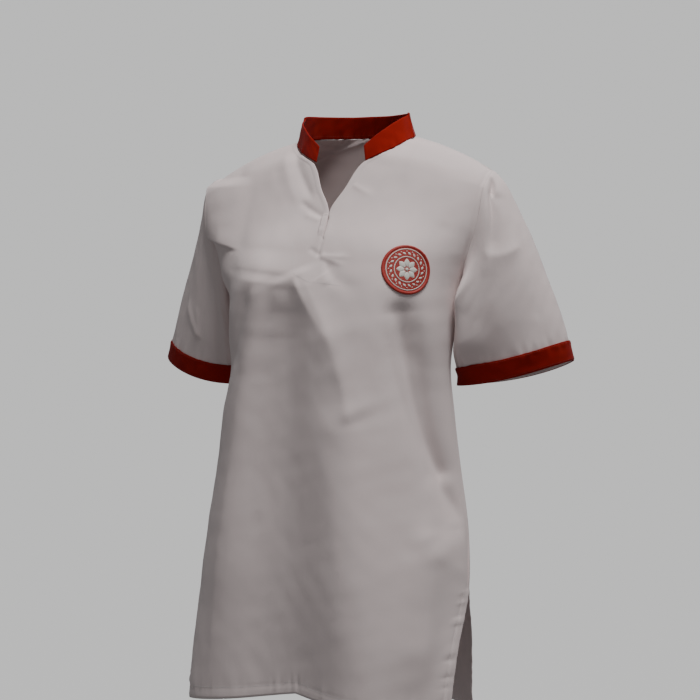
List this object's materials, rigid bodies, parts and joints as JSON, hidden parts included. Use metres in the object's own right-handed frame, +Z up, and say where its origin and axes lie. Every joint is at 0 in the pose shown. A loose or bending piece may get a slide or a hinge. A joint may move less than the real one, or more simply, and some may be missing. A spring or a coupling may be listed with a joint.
{
  "type": "school uniform kurti",
  "caption": "White short-sleeved school kurti with a red stand collar and sleeve bands, a neck slit, side slits and a round chest patch, holding a worn shape.",
  "frame": {"origin": "on the line between the two points where the shoulder seams meet the collar, midway across the neck", "axes": "+Z up, the wearer faces -Y and the wearer's left is +X"},
  "size_m": [0.5811, 0.2864, 0.7753],
  "materials": {
    "white_cotton": "plain woven cotton blend, matt",
    "red_cotton": "plain woven cotton, matt",
    "patch": "embroidered twill patch with off-white thread"
  },
  "bodies": {
    "root": {"front": "white_cotton", "back": "white_cotton", "sleeve_left": "white_cotton", "sleeve_right": "white_cotton", "placket_strip": "white_cotton", "cuff_left": "red_cotton", "cuff_right": "red_cotton", "collar": "red_cotton", "badge": "patch"}
  },
  "joints": []
}
